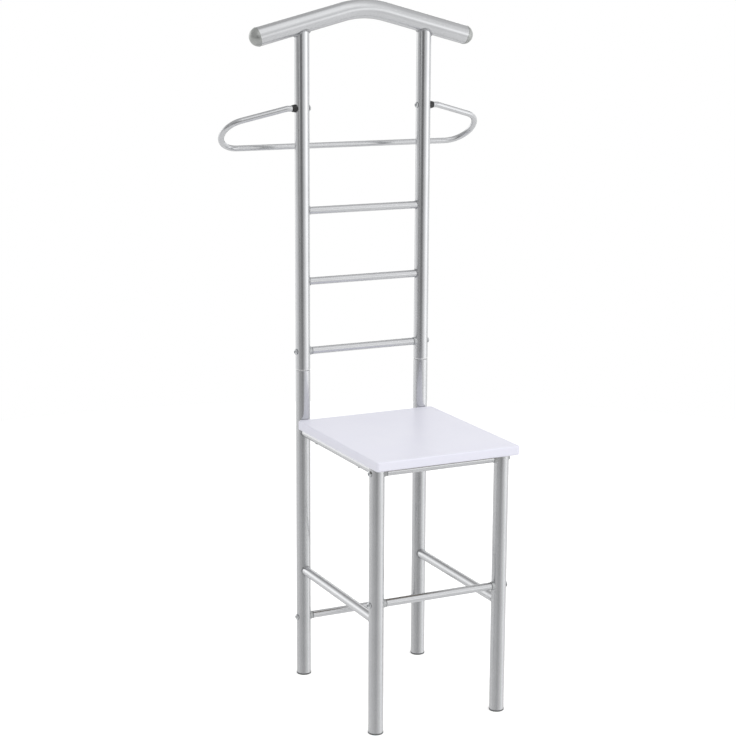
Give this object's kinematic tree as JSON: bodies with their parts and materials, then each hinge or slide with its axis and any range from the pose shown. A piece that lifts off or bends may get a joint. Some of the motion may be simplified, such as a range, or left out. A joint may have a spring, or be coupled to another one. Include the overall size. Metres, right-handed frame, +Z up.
{
  "type": "clothes valet chair",
  "caption": "Tubular steel valet stand with a ladder back, a sloped shoulder bar on top, a white seat board, and a trouser bar that tilts behind the uprights.",
  "frame": {"origin": "middle of the bounding box at floor level, seen from above", "axes": "X across the chair (+X is its right-hand side as seen from the front), Y from the front (-Y) to the back (+Y), Z up"},
  "size_m": [0.492, 0.4102, 1.188],
  "materials": {
    "silver_steel": "satin silver lacquer on steel tube",
    "zinc": "bright zinc-plated bolts, screws and inserts",
    "white_board": "satin white lacquer on fibreboard",
    "grey_plastic": "fine-grained grey plastic",
    "black_plastic": "satin black plastic"
  },
  "bodies": {
    "frame": {"left_front_leg": "silver_steel", "right_front_leg": "silver_steel", "left_rear_leg": "silver_steel", "right_rear_leg": "silver_steel", "left_seat_rail": "silver_steel", "right_seat_rail": "silver_steel", "left_side_stretcher": "silver_steel", "right_side_stretcher": "silver_steel", "front_seat_rail": "silver_steel", "front_stretcher": "silver_steel", "rear_stretcher": "silver_steel", "left_upright": "silver_steel", "right_upright": "silver_steel", "lower_rung": "silver_steel", "middle_rung": "silver_steel", "upper_rung": "silver_steel", "shoulder_bar": "silver_steel", "left_shoulder_cap": "grey_plastic", "right_shoulder_cap": "grey_plastic", "trouser_bar_screws": "zinc", "trouser_bar_spacers": "black_plastic", "seat_board": "white_board", "seat_screws": "zinc", "left_front_foot": "grey_plastic", "right_front_foot": "grey_plastic", "left_rear_foot": "grey_plastic", "right_rear_foot": "grey_plastic", "crossbar_saddles": "grey_plastic", "crossbar_inserts": "zinc", "crossbar_bolts": "zinc"},
    "trouser_bar": {"trouser_bar": "silver_steel", "trouser_bar_inserts": "zinc"}
  },
  "joints": [
    {"name": "trouser_bar_tilt", "type": "hinge", "parent": "frame", "child": "trouser_bar", "pos_m": [0, 0.12136, 1.008], "axis": [1, 0, 0], "range_deg": [-38, 120]}
  ]
}
